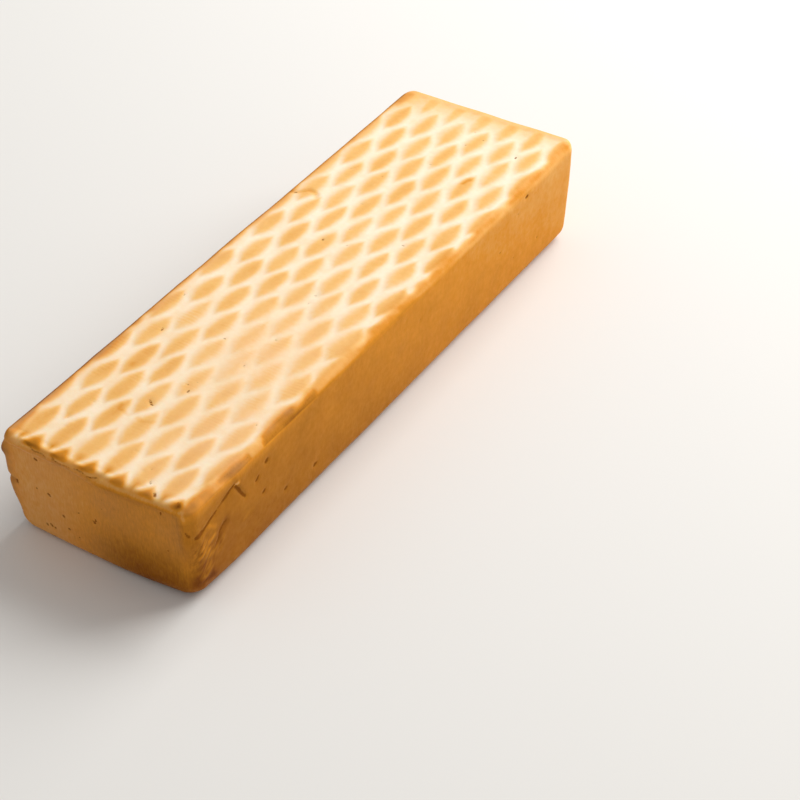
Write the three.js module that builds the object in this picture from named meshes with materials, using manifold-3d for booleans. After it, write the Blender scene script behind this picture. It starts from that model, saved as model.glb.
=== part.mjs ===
// A loaf of smoked Swiss-style cheese, as one solid. Millimetres, +Z up.
// The origin is in the middle of the flat base. +Y runs along the loaf, and the end
// with the overhanging lip and the scuffed corner faces -Y.
import * as THREE from "three";
import { mergeVertices } from "three/addons/utils/BufferGeometryUtils.js";
import Module from "manifold-3d";

// Overall size of the loaf
const LENGTH = 290;
const WIDTH = 90;
const HEIGHT = 48.2;

// Roundings: upright corners, the top edges along the sides and across the ends, and the foot
// along the sides and under each end
const CORNER_RADIUS = 6;
const SIDE_SHOULDER_RADIUS = 4;
const END_SHOULDER_RADIUS = 1.8;
const SIDE_FOOT_RADIUS = 6;
const LIP_END_FOOT_RADIUS = 7;
const FAR_END_FOOT_RADIUS = 9.5;

// How far the walls lean in towards the base, and how far they bow out half-way up
const SIDE_LEAN = 1.5;
const LIP_END_LEAN = 1.1;
const FAR_END_LEAN = 4;
const WALL_BOW = 0.4;

// From above, the middle of the lip end bulges out; the bulge fades away along the loaf
const LIP_END_BULGE = 1.4;
const BULGE_FADE = 40;
const BODY_LENGTH = LENGTH - LIP_END_BULGE;

// Slow unevenness of the walls: its height, and one wave's length along and around the loaf
const WALL_WAVE = 0.3;
const WALL_WAVE_ALONG = 145;
const WALL_WAVE_AROUND = 110;

// The lip of pressed skin that hangs over the -Y end
const LIP_REACH = 0.8;
const LIP_DROP = 3;
const LIP_WAVE = 0.4;
const LIP_WAVE_LONG = 33;
const LIP_WAVE_SHORT = 18;
const LIP_STEP = 0.9;

// The diamond marks of the smoking rack: one mark's pitch along and across the loaf,
// the middle of one mark, the rack's turn, and how deep its strands sank in
const MARK_PITCH_ALONG = 33.6;
const MARK_PITCH_ACROSS = 13.85;
const MARK_AT = new THREE.Vector2(5, 20);
const RACK_TURN = THREE.MathUtils.degToRad(1.9);
const STRAND_DEPTH = 0.8;

// A mark is an almond whose tips point along the loaf, sized as parts of the pitches
const ALMOND_HALF_LENGTH = 0.33;
const ALMOND_HALF_WIDTH = 0.3;
const ALMOND_EDGE = 0.5;

// The scuff low on the +X side, next to the -Y end: a shallow rough hollow
const SCUFF_AT = new THREE.Vector3(WIDTH / 2 + 7.4, -LENGTH / 2 + 12.5, 21.5);
const SCUFF_HALF = new THREE.Vector3(9, 20, 16);
const CRAG_HEIGHT = 0.05;
const CRAG_TURNS = 10;

// The crease above the scuff, where the upper skin stands proud of the lower: its two ends on
// the wall, its step, and how far below it the step has run out
const CREASE_FROM = new THREE.Vector3(WIDTH / 2, -LENGTH / 2 + 6, 33.2);
const CREASE_TO = new THREE.Vector3(WIDTH / 2, -LENGTH / 2 + 30, 40.6);
const CREASE_STEP = 0.9;
const CREASE_RUN = 9;

// The nick at the crease's upper end, and the dent in the other upright corner
const NICK_TO = new THREE.Vector3(WIDTH / 2, -LENGTH / 2 + 35.3, 31.9);
const NICK_SIZE = 1.4;
const DENT_AT = new THREE.Vector3(-WIDTH / 2 + 0.8, -LENGTH / 2 + 2.2, 26);
const DENT_HALF = new THREE.Vector3(2.6, 2.6, 2.6);

// Fineness of the mesh
const CORNER_STEPS = 5;
const SIDE_STEPS = 24;
const END_STEPS = 14;
const FOOT_RINGS = 4;
const WALL_RINGS = 5;
const SHOULDER_RINGS = 4;
const RINGS = FOOT_RINGS + WALL_RINGS + SHOULDER_RINGS;
const PEBBLE_DETAIL = 5;
const STEPS_PER_MARK = 5;
const MARKS_EACH_WAY = 9;
const SMALLEST_EDGE = 0.02;

// The body's own top stands this much above the marks that are cut into it
const TOP_ALLOWANCE = 0.5;

const { clamp, lerp, smoothstep } = THREE.MathUtils;
const wasm = await Module();
wasm.setup();

// A closed mesh with only positions, its shared corners joined, as a solid that can be cut
function solidFrom(geometry) {
  const bare = new THREE.BufferGeometry();
  bare.setAttribute("position", geometry.attributes.position);
  bare.setIndex(geometry.index);
  const joined = mergeVertices(bare, 1e-3);
  const vertProperties = new Float32Array(joined.attributes.position.array);
  const triVerts = new Uint32Array(joined.index.array);
  return new wasm.Manifold(new wasm.Mesh({ numProp: 3, vertProperties, triVerts }));
}

// The cut solid as a three.js geometry, with its shortest edges closed up
function geometryFrom(solid) {
  const { vertProperties, triVerts } = solid.getMesh();
  const cut = new THREE.BufferGeometry();
  cut.setAttribute("position", new THREE.BufferAttribute(vertProperties, 3));
  cut.setIndex(new THREE.BufferAttribute(triVerts, 1));
  const geometry = mergeVertices(cut, SMALLEST_EDGE);
  const corners = geometry.index.array;
  const kept = [];
  for (let i = 0; i < corners.length; i += 3) {
    const [a, b, c] = corners.subarray(i, i + 3);
    if (a !== b && b !== c && c !== a) kept.push(a, b, c);
  }
  geometry.setIndex(kept);
  geometry.computeVertexNormals();
  return geometry;
}

// Moves every vertex of a geometry to where the function puts it
function reshape(geometry, move) {
  const positions = geometry.attributes.position;
  const at = new THREE.Vector3();
  for (let i = 0; i < positions.count; i += 1) {
    move(at.fromBufferAttribute(positions, i));
    positions.setXYZ(i, at.x, at.y, at.z);
  }
  return geometry;
}

// The loaf's outline from above: a round-cornered rectangle with its straight runs in steps
function outline() {
  const halfWidth = WIDTH / 2 - CORNER_RADIUS;
  const halfLength = BODY_LENGTH / 2 - CORNER_RADIUS;
  const points = [];
  const corner = (x, y, firstQuarter, steps) => {
    for (let i = 0; i <= CORNER_STEPS; i += 1) {
      const turn = (firstQuarter + i / CORNER_STEPS) * (Math.PI / 2);
      const reach = new THREE.Vector2(Math.cos(turn), Math.sin(turn)).multiplyScalar(CORNER_RADIUS);
      points.push(reach.add(new THREE.Vector2(x, y)));
    }
    const start = points.at(-1);
    const run = new THREE.Vector2(x - start.x, y - start.y).divideScalar(CORNER_RADIUS);
    run.set(run.y, -run.x);
    const length = 2 * (Math.abs(run.x) > 0.5 ? halfWidth : halfLength);
    for (let i = 1; i < steps; i += 1) points.push(start.clone().addScaledVector(run, length * i / steps));
  };
  corner(halfWidth, -halfLength, 3, SIDE_STEPS);
  corner(halfWidth, halfLength, 0, END_STEPS);
  corner(-halfWidth, halfLength, 1, SIDE_STEPS);
  corner(-halfWidth, -halfLength, 2, END_STEPS);
  return new THREE.Shape(points);
}

// The inner rectangle's point under a point of the outline, and the way the wall faces there
function wallAt(x, y) {
  const halfWidth = WIDTH / 2 - CORNER_RADIUS;
  const halfLength = BODY_LENGTH / 2 - CORNER_RADIUS;
  const inner = new THREE.Vector2(clamp(x, -halfWidth, halfWidth), clamp(y, -halfLength, halfLength));
  const facing = new THREE.Vector2(x, y).sub(inner).normalize();
  return { inner, facing };
}

// A wave of height 1 at a distance, for one wave's length
function wave(distance, length) {
  return Math.sin((2 * Math.PI * distance) / length);
}

// Height at which the lip ends, a wavy line along the -Y end
function lipHeight(x) {
  return HEIGHT - LIP_DROP + LIP_WAVE * (wave(x, LIP_WAVE_LONG) + wave(x, LIP_WAVE_SHORT) / 2);
}

// How far a wall stands in from its even shape
function wallWave(x, y, z) {
  return WALL_WAVE * wave(y, WALL_WAVE_ALONG) * wave(x + z, WALL_WAVE_AROUND);
}

// One ring of the wall: its height, and how much of the foot's and the shoulder's rounding
// is drawn in there. The rings climb the foot's quarter-round, the wall and the shoulder's.
function ringAt(ring, endShare, endFoot, x) {
  const foot = lerp(SIDE_FOOT_RADIUS, endFoot, endShare);
  const shoulder = lerp(SIDE_SHOULDER_RADIUS, END_SHOULDER_RADIUS, endShare);
  const lip = lipHeight(x) - (shoulder - END_SHOULDER_RADIUS);
  if (ring <= FOOT_RINGS) {
    const turn = (ring / FOOT_RINGS) * (Math.PI / 2);
    return { z: foot * (1 - Math.cos(turn)), footShare: 1 - Math.sin(turn), rounding: 0 };
  }
  if (ring >= FOOT_RINGS + WALL_RINGS) {
    const turn = ((ring - FOOT_RINGS - WALL_RINGS) / SHOULDER_RINGS) * (Math.PI / 2);
    const z = HEIGHT + TOP_ALLOWANCE - shoulder * (1 - Math.sin(turn));
    return { z, footShare: 0, rounding: shoulder * (1 - Math.cos(turn)) };
  }
  const stops = [lerp(foot, lip, 0.4), lerp(foot, lip, 0.75), lip - LIP_STEP / 2, lip + LIP_STEP / 2];
  return { z: stops[ring - FOOT_RINGS - 1], footShare: 0, rounding: 0 };
}

// How far a wall leans and bows inwards at one height
function wallDrawn(lean, z) {
  const up = z / HEIGHT;
  return lean * (1 - up) - WALL_BOW * 4 * up * (1 - up);
}

// The lip stays out while the -Y end below it stands back
function underLip(x, z) {
  const edge = lipHeight(x);
  return LIP_REACH * (1 - smoothstep(z, edge - LIP_STEP / 2, edge + LIP_STEP / 2));
}

// How far the bulge of the lip end pushes a point out
function bulgeAt(x, y) {
  const share = clamp(1 - (y + BODY_LENGTH / 2) / BULGE_FADE, 0, 1);
  return LIP_END_BULGE * share * (1 - (2 * x / WIDTH) ** 2);
}

// The pressed loaf before the rack marked it: the outline raised in rings, and each ring
// a smaller round-cornered rectangle where the wall is drawn in
function loafBody() {
  const raised = new THREE.ExtrudeGeometry(outline(), { depth: RINGS, steps: RINGS, bevelEnabled: false });
  return reshape(raised, (at) => {
    const { inner, facing } = wallAt(at.x, at.y);
    const endFoot = at.y < 0 ? LIP_END_FOOT_RADIUS : FAR_END_FOOT_RADIUS;
    const endLean = at.y < 0 ? LIP_END_LEAN : FAR_END_LEAN;
    const ring = ringAt(Math.round(at.z), facing.y ** 2, endFoot, at.x);
    const sideIn = SIDE_FOOT_RADIUS * ring.footShare + ring.rounding + wallDrawn(SIDE_LEAN, ring.z);
    const endIn = endFoot * ring.footShare + ring.rounding + wallDrawn(endLean, ring.z);
    inner.x *= 1 - sideIn / (WIDTH / 2 - CORNER_RADIUS);
    inner.y *= 1 - endIn / (BODY_LENGTH / 2 - CORNER_RADIUS);
    const lip = Math.max(-facing.y, 0) * underLip(at.x, ring.z);
    inner.addScaledVector(facing, CORNER_RADIUS - wallWave(at.x, at.y, ring.z) - lip);
    at.set(inner.x, inner.y + LIP_END_BULGE / 2 - bulgeAt(inner.x, inner.y), ring.z);
  });
}

// How high the cheese stands inside a mark, from 0 under a strand to 1 in the almond's middle.
// along and across count pitches from the middle of one mark; the marks are staggered by half.
function markHeight(along, across) {
  let nearest = Infinity;
  for (const stagger of [0, 0.5]) {
    const a = along - stagger - Math.round(along - stagger);
    const b = across - stagger - Math.round(across - stagger);
    const reach = Math.abs(b) / ALMOND_HALF_WIDTH + (a / ALMOND_HALF_LENGTH) ** 2;
    nearest = Math.min(nearest, reach);
  }
  return 1 - smoothstep(nearest, 1 - ALMOND_EDGE, 1 + ALMOND_EDGE);
}

// A block larger than the loaf whose top is the marked surface. Its mesh lines run along the
// rack's two sets of strands, so every strand is a straight row of edges.
function markedBlock() {
  const steps = 2 * MARKS_EACH_WAY * STEPS_PER_MARK;
  const block = new THREE.BoxGeometry(1, 1, 1, steps, steps, 1);
  return reshape(block, (at) => {
    const first = at.x * 2 * MARKS_EACH_WAY + 0.5;
    const second = at.y * 2 * MARKS_EACH_WAY + 0.5;
    const along = (second - first) / 2;
    const across = (first + second) / 2;
    const rack = new THREE.Vector2(across * MARK_PITCH_ACROSS, along * MARK_PITCH_ALONG);
    rack.rotateAround(new THREE.Vector2(), -RACK_TURN).add(MARK_AT);
    const marked = HEIGHT - STRAND_DEPTH * (1 - markHeight(along, across));
    at.set(rack.x, rack.y, at.z > 0 ? marked : -HEIGHT / 4);
  });
}

// A rough pebble with slanting ridges; what it cuts away leaves a hollow with a craggy floor
function pebble(centre, half) {
  const ball = new THREE.IcosahedronGeometry(1, PEBBLE_DETAIL);
  return reshape(ball, (at) => {
    const ridges = Math.sin(CRAG_TURNS * (at.y + at.z / 2)) * Math.sin(CRAG_TURNS * (at.z - at.y / 2));
    at.multiplyScalar(1 + CRAG_HEIGHT * ridges).multiply(half).add(centre);
  });
}

// A wedge along a line on the +X wall; what it cuts away leaves a step down below the line
// that runs out again further down
function stepWedge(from, to) {
  const proud = 1;
  const foot = -CREASE_RUN * (1 + proud / CREASE_STEP);
  const section = new THREE.Shape();
  section.moveTo(-CREASE_STEP, 0).lineTo(proud, foot).lineTo(proud, 0).closePath();
  const wedge = new THREE.ExtrudeGeometry(section, { depth: from.distanceTo(to), bevelEnabled: false });
  const out = new THREE.Vector3(1, 0, 0);
  const back = from.clone().sub(to).normalize();
  const up = back.clone().cross(out);
  wedge.applyMatrix4(new THREE.Matrix4().makeBasis(out, up, back));
  wedge.translate(to.x, to.y, to.z);
  return wedge;
}

// A square bar on edge between two points; what it cuts away leaves a V-shaped groove
function grooveBar(from, to) {
  const bar = new THREE.BoxGeometry(NICK_SIZE, NICK_SIZE, from.distanceTo(to));
  bar.rotateZ(Math.PI / 4);
  const middle = from.clone().lerp(to, 0.5);
  const run = to.clone().sub(from).normalize();
  const turn = new THREE.Quaternion().setFromUnitVectors(new THREE.Vector3(0, 0, 1), run);
  bar.applyQuaternion(turn);
  bar.translate(middle.x, middle.y, middle.z);
  return bar;
}

// The whole loaf: the body, cut down to the marked top, then scuffed, creased and dented,
// and set with the middle of its base on the origin
function loaf() {
  let solid = solidFrom(loafBody()).intersect(solidFrom(markedBlock()));
  const cuts = [
    pebble(SCUFF_AT, SCUFF_HALF),
    stepWedge(CREASE_FROM, CREASE_TO),
    grooveBar(CREASE_TO, NICK_TO),
    pebble(DENT_AT, DENT_HALF),
  ];
  for (const cut of cuts) solid = solid.subtract(solidFrom(cut));
  const geometry = geometryFrom(solid);
  geometry.computeBoundingBox();
  const middle = geometry.boundingBox.getCenter(new THREE.Vector3());
  return geometry.translate(-middle.x, -middle.y, 0);
}

const smokedRind = new THREE.MeshStandardMaterial({ color: "#dba055", roughness: 0.42, metalness: 0 });
const cheese = new THREE.Mesh(loaf(), smokedRind);
cheese.name = "cheese_loaf";

const part = new THREE.Group();
part.add(cheese);

export default part;
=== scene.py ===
# %% [markdown]
# # A loaf of smoked cheese
# A long, low loaf of Swiss-style cheese lay on a diamond-mesh rack in a smokehouse. The smoke
# browned its skin everywhere except where the wires touched it, so the top carries a net of pale
# strands round honey-coloured almonds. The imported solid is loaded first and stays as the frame:
# everything made here sits in its place, in metres, with +Z up and +Y along the loaf.

# %% Load the frame
import math

import bpy
import numpy as np
from mathutils import Matrix, Vector


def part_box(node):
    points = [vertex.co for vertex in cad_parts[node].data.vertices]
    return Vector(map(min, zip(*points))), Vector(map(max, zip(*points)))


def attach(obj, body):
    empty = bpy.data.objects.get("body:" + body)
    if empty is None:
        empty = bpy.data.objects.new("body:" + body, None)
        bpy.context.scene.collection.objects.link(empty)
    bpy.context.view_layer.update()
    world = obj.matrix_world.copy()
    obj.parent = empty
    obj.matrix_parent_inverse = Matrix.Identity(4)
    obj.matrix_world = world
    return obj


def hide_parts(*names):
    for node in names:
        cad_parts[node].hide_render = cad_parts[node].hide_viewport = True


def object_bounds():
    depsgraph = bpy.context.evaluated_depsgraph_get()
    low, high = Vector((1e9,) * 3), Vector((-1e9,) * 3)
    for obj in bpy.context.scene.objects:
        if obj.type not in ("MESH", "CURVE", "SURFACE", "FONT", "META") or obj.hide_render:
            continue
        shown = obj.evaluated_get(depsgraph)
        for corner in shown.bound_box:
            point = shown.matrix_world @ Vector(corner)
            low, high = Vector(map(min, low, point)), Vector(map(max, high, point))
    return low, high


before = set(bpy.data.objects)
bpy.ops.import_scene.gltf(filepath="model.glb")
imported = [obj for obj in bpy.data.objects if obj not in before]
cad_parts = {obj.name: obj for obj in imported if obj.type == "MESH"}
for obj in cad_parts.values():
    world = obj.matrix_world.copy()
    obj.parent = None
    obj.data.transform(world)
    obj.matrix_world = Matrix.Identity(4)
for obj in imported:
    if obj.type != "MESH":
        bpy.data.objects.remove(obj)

MM = 0.001
cad_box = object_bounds()
cad_size = [round(v / MM, 1) for v in cad_box[1] - cad_box[0]]
print("frame:", sorted(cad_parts), "size", cad_size, "mm")

# %% [markdown]
# ## The camera
# A camera can be placed by eye; this one stands at angles that were worked out once. It looks
# down on the loaf's lip end and its right side. It is given by where it stands round the loaf, how
# high, how far, how much it is tilted sideways, and how far its aim is slid across the picture.

# %% Camera
CAMERA_ROUND = math.radians(33.33)
CAMERA_ABOVE = math.radians(39.42)
CAMERA_TILT = math.radians(-1.34)
CAMERA_FAR = 918.9 * MM
AIM_RIGHT, AIM_UP = 36.23 * MM, -14.15 * MM
LENS = 97.0

back = Vector((
    math.sin(CAMERA_ROUND) * math.cos(CAMERA_ABOVE),
    -math.cos(CAMERA_ROUND) * math.cos(CAMERA_ABOVE),
    math.sin(CAMERA_ABOVE),
))
level = Vector((math.cos(CAMERA_ROUND), math.sin(CAMERA_ROUND), 0))
tilt = Matrix.Rotation(CAMERA_TILT, 3, back)
right, up = tilt @ level, tilt @ back.cross(level)

camera = bpy.data.objects.new("camera", bpy.data.cameras.new("camera"))
camera.data.lens = LENS
camera.matrix_world = Matrix.Translation(
    AIM_RIGHT * right + AIM_UP * up + CAMERA_FAR * back
) @ Matrix((right, up, back)).transposed().to_4x4()
bpy.context.collection.objects.link(camera)
bpy.context.scene.camera = camera
print("camera stands at", [round(v, 3) for v in camera.location])

# %% [markdown]
# ## A grid to press the loaf from
# The loaf is one skin with no seam, so it is made as one grid: a box with a top and four walls,
# whose points are shared along every edge. A subdivided cube would spread its points evenly. Here
# they stand closer where the skin has small forms, at the lip end and along the top edge, and
# wider apart where it is plain. The box is pressed into a loaf by formulas afterwards. All sizes
# are in millimetres until the mesh is made.

# %% Sizes from the frame
# The lip end bulges out in its middle, and unevenness swells the side walls: the even body is
# smaller than the frame's box by that much.
LIP_BULGE = 1.4
WALL_SWELL = 0.17
high = np.array(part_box("cheese_loaf")[1]) / MM
HALF_WIDTH = high[0] - WALL_SWELL
HALF_LENGTH = high[1] - LIP_BULGE / 2
HEIGHT = high[2]
print("half width, half length, height:", np.round([HALF_WIDTH, HALF_LENGTH, HEIGHT], 2))

# %% Grid lines
def graded(stops, per_mm):
    """Grid lines through the stops, each stretch cut evenly into its own number of steps a mm."""
    runs = [
        np.linspace(a, b, max(1, round((b - a) * n)), endpoint=False)
        for a, b, n in zip(stops, stops[1:], per_mm)
    ]
    return np.concatenate(runs + [stops[-1:]])


LIP_ZONE, SCUFF_ZONE, FAR_ZONE, RIM_ZONE = 9, 42, 6, 9
along_stops = [
    -HALF_LENGTH, LIP_ZONE - HALF_LENGTH, SCUFF_ZONE - HALF_LENGTH, HALF_LENGTH - FAR_ZONE, HALF_LENGTH,
]
across_lines = graded([-HALF_WIDTH, HALF_WIDTH], [1.2])
along_lines = graded(along_stops, [2.2, 1.7, 1.0, 1.5])
up_lines = graded([0, HEIGHT - RIM_ZONE, HEIGHT], [1.2, 2.0])
print("grid lines across, along, up:", len(across_lines), len(along_lines), len(up_lines))

# %% Weld five faces of a box
def box_skin(*lines):
    """Points and quads of a box without its bottom. Each face holds one axis still at an end and
    lets two run, in the order that turns the face outwards; a point that two faces share has the
    same whole-number place (i, j, k) on both, and is made once."""
    sizes = [len(axis) for axis in lines]
    top, right, left, far, near = (2, 1, 0, 1), (0, 1, 1, 2), (0, 0, 2, 1), (1, 1, 2, 0), (1, 0, 0, 2)
    keys, quads, count = [], [], 0
    for still, at_end, first, second in (top, right, left, far, near):
        place = [None] * 3
        place[first], place[second] = np.meshgrid(
            np.arange(sizes[first]), np.arange(sizes[second]), indexing="ij"
        )
        place[still] = np.full_like(place[first], at_end * (sizes[still] - 1))
        key = np.ravel_multi_index(place, sizes)
        number = count + np.arange(key.size).reshape(key.shape)
        quads.append(np.stack(
            [number[:-1, :-1], number[1:, :-1], number[1:, 1:], number[:-1, 1:]], -1
        ).reshape(-1, 4))
        keys.append(key.ravel())
        count += key.size
    places, shared = np.unique(np.concatenate(keys), return_inverse=True)
    points = [axis[index] for axis, index in zip(lines, np.unravel_index(places, sizes))]
    return np.column_stack(points), shared[np.concatenate(quads)]


box_points, quads = box_skin(across_lines, along_lines, up_lines)
print("box skin:", len(box_points), "points,", len(quads), "quads")

# %% [markdown]
# ## The pressed body
# Cheese pressed in a lined mould has soft shoulders, a rounder foot, and walls that lean in a
# little towards the base. A bevel modifier could round the box, but it gives every edge one
# radius. Bending the grid by formula lets each end have its own shoulder, foot and lean, and lets
# the knocked corner at the foot be rounder than the rest.

# %% Blend and ease
def mix(a, b, share):
    """The value that lies the given share of the way from a to b."""
    return a + (b - a) * share


def ease(value, start, end):
    """Rises smoothly from 0 at start to 1 at end."""
    t = np.clip((value - start) / (end - start), 0, 1)
    return t * t * (3 - 2 * t)


print("a quarter of the way, ease has risen to", ease(0.25, 0, 1))

# %% Roundings and leans
CORNER = 6.0
SIDE_SHOULDER, LIP_END_SHOULDER, FAR_END_SHOULDER = 4.0, 2.8, 1.4
SIDE_FOOT, LIP_END_FOOT, FAR_END_FOOT = 6.0, 5.8, 9.5
SIDE_LEAN, LIP_END_LEAN, FAR_END_LEAN = 1.5, 1.1, 4.0
WALL_BOW = 0.4
KNOCK_FOOT, KNOCK_REACH = 2.0, 20.0
BULGE_FADE = 40.0
FAR_STRETCH, STRETCH_FADE = 0.9, 45.0
# Along the lip end, the skin changes from a thin sharp edge on the left to a thick round one
LIP_END_ROUNDER = 4.2
LIP_CHANGE = (-8, 6)


def drawn_in(lean, rise):
    """How far a wall stands in at a share of its height: a lean, less a bow of parabola form."""
    return lean * (1 - rise) - WALL_BOW * 4 * rise * (1 - rise)


print("half-way up, the far end stands in by", drawn_in(FAR_END_LEAN, 0.5), "mm")

# %% Press the box into the loaf
def pressed(box):
    """The box with its edges turned into arcs, and the way that each point faces from above. A
    point is an inner rectangle's point plus a reach outwards; the top edge's arc is shared half by
    the top face and half by the wall, and the foot's arc draws the inner rectangle in."""
    half = np.array([HALF_WIDTH, HALF_LENGTH])
    flat, z = box[:, :2], box[:, 2]
    inner = np.clip(flat, CORNER - half, half - CORNER)
    out = flat - inner
    reach = np.abs(out).max(1)
    facing = out / np.maximum(np.linalg.norm(out, axis=1), 1e-9)[:, None]
    end_share, far = np.square(facing[:, 1]), flat[:, 1] > 0

    lip_shoulder = mix(LIP_END_SHOULDER, LIP_END_ROUNDER, ease(flat[:, 0], *LIP_CHANGE))
    shoulder = mix(SIDE_SHOULDER, np.where(far, FAR_END_SHOULDER, lip_shoulder), end_share)
    arc = np.where(z < HEIGHT, 1 + (HEIGHT - z) / shoulder, 1 - (CORNER - reach) / shoulder)
    turn = np.clip(arc, 0, 2) * math.pi / 4
    reach = np.where(arc > 0, CORNER - shoulder * (1 - np.sin(turn)), reach)

    knock = KNOCK_FOOT * np.exp(-np.square((flat - half * (1, -1)) / KNOCK_REACH).sum(1))
    foot = mix(SIDE_FOOT, np.where(far, FAR_END_FOOT, LIP_END_FOOT), end_share) + knock
    foot_turn = np.clip(z / foot, 0, 1) * math.pi / 2
    foot_in = foot * (1 - np.sin(foot_turn))
    rolled = HEIGHT - shoulder * (1 - np.cos(turn))
    z = np.where(z < foot, foot * (1 - np.cos(foot_turn)), np.where(arc < 2, rolled, z))

    rise = z / HEIGHT
    end_lean = np.where(far, FAR_END_LEAN, LIP_END_LEAN)
    drawn = np.column_stack([drawn_in(SIDE_LEAN, rise), drawn_in(end_lean, rise)]) + foot_in[:, None]
    flat = inner * (1 - drawn / (half - CORNER)) + facing * reach[:, None]
    near = np.clip(1 - (flat[:, 1] + HALF_LENGTH) / BULGE_FADE, 0, 1)
    flat[:, 1] += LIP_BULGE * (0.5 - near * (1 - np.square(flat[:, 0] / HALF_WIDTH)))
    flat[:, 1] += FAR_STRETCH * ease(flat[:, 1], HALF_LENGTH - STRETCH_FADE, HALF_LENGTH)
    return np.column_stack([flat, z]), facing


body, facing = pressed(box_points)
print("body box:", body.min(0).round(2), body.max(0).round(2))

# %% Which way the skin faces
def outward(points):
    """Unit normals at the points: the sum of the cross products of the quads' diagonals."""
    a, b, c, d = (points[quads[:, n]] for n in range(4))
    face = np.cross(c - a, d - b)
    total = np.column_stack([
        sum(np.bincount(quads[:, n], face[:, axis], len(points)) for n in range(4))
        for axis in range(3)
    ])
    return total / np.linalg.norm(total, axis=1)[:, None]


normal = outward(body)
x, y, z = body.T
drop = HEIGHT - z
on_wall = 1 - ease(normal[:, 2], 0.3, 0.9)
upper = ease(normal[:, 2], 0.1, 0.6)
faces_lip_end = np.maximum(-facing[:, 1], 0)
print("share of points on the walls:", round(float(on_wall.mean()), 3))

# %% [markdown]
# ## The rack's print
# The rack is a sheet of slit and stretched metal: its openings are almonds with their tips along
# the loaf, in rows that are staggered by half. An almond could be drawn once and copied, but the
# print is one continuous skin, so it is a formula over the whole top: how far a point is from the
# nearest almond's middle, counted in almonds. Strands bear hard on the flat and lift off where the
# shoulder rolls away.

# %% Lumps and bumps
def lumps(points, size, seed, waves=28):
    """Soft lumps about the given size in mm, mostly from -1 to 1: a sum of sine waves of nearly
    one wavelength in random directions."""
    draw = np.random.default_rng(seed)
    way = draw.normal(size=(3, waves))
    way *= math.pi / size * draw.uniform(0.7, 1.4, waves) / np.linalg.norm(way, axis=0)
    turns = draw.uniform(0, 2 * math.pi, waves)
    return np.sin(points @ way + turns).sum(1) / math.sqrt(2 * waves)


def hump(value, middle, width):
    """A smooth bump of height 1 along one measure, fallen to about a third at its width away."""
    return np.exp(-np.square((value - middle) / width))


def knob(at, size):
    """The same bump round a point, with its own size along each axis."""
    return np.exp(-np.square((body - at) / size).sum(1))


# A stretch of the top where the print is rubbed soft
rubbed = knob((15, -55, HEIGHT), (22, 36, 20))
print("rubbed points:", int((rubbed > 0.5).sum()))

# %% Almonds and strands
PITCH_ALONG, PITCH_ACROSS = 33.6, 13.85
ALMOND_AT = (4.5, 20.35)
RACK_TURN = math.radians(1.9)
ROW_SHIFT, ROW_BOW = 0.51, 1.275
LIP_SLIP, SLIP_RUN = 0.8, (-128, -88)
LIP_NARROWING, NARROWING_RUN = 0.035, (-140, -85)
# The almonds' own sizes, edges and slips are counted in pitches
ALMOND_HALF_LENGTH, ALMOND_POWER = 0.335, 2.45
ALMOND_LEFT, ALMOND_RIGHT = 0.29, 0.265
EDGE_LEFT, EDGE_RIGHT = 0.56, 0.44
FAR_SOFTER, FAR_SOFTENING, RUBBED_SOFTER = 0.3, (0, 110), 0.5
WAVER_ALONG, WAVER_ACROSS = 0.012, 0.02
SLIP_ALONG, SLIP_ACROSS, SIZE_SPREAD = 0.012, 0.018, 0.05
ROWS_DRAWN = 20


def rack_print(x, y):
    """From 0 under a strand to 1 in an almond, a slope that peaks in each almond's middle, and how
    much smoke each almond took beside the others. An almond is where |across| / half width plus a
    power of |along| / half length is below 1; its edge is eased to both sides of that, more softly
    on the left. The skin gave way unevenly: rows waver, and each almond has a slip, a size and a
    tone of its own."""
    bow = ROW_SHIFT - ROW_BOW * np.square(y / HALF_LENGTH)
    dx, dy = x - ALMOND_AT[0] - bow, y - ALMOND_AT[1]
    dx += LIP_SLIP * (1 - ease(y, *SLIP_RUN))
    dx *= 1 + LIP_NARROWING * (1 - ease(y, *NARROWING_RUN))
    along = (math.cos(RACK_TURN) * dy + math.sin(RACK_TURN) * dx) / PITCH_ALONG
    across = (math.cos(RACK_TURN) * dx - math.sin(RACK_TURN) * dy) / PITCH_ACROSS
    along += WAVER_ALONG * lumps(body, 8, seed=13)
    across += WAVER_ACROSS * lumps(body, 5, seed=14)
    softer = 1 + FAR_SOFTER * ease(y, *FAR_SOFTENING) + RUBBED_SOFTER * rubbed
    chance = np.random.default_rng(15).normal(size=(2, ROWS_DRAWN, ROWS_DRAWN, 4))
    inside, core, tone = np.zeros((3, len(x)))
    for layer, stagger in enumerate((0, 0.5)):
        row, column = (np.round(v - stagger).astype(int) for v in (along, across))
        slip_along, slip_across, size, own_tone = np.moveaxis(chance[layer, row, column], -1, 0)
        a = along - stagger - row + SLIP_ALONG * slip_along
        b = across - stagger - column + SLIP_ACROSS * slip_across
        edge = np.where(b < 0, EDGE_LEFT, EDGE_RIGHT) * softer
        away = np.abs(b) / np.where(b < 0, ALMOND_LEFT, ALMOND_RIGHT)
        away += np.abs(a / ALMOND_HALF_LENGTH) ** ALMOND_POWER
        away /= 1 + SIZE_SPREAD * size
        own = 1 - ease(away, 1 - edge, 1 + edge)
        core = np.maximum(core, np.clip(1 - away, 0, 1))
        inside, tone = np.maximum(inside, own), tone + own * own_tone
    return inside, core, tone


almond, almond_core, almond_tone = rack_print(x, y)
print("share of the top under strands:", round(float((almond < 0.5)[drop < 0.1].mean()), 3))

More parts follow.
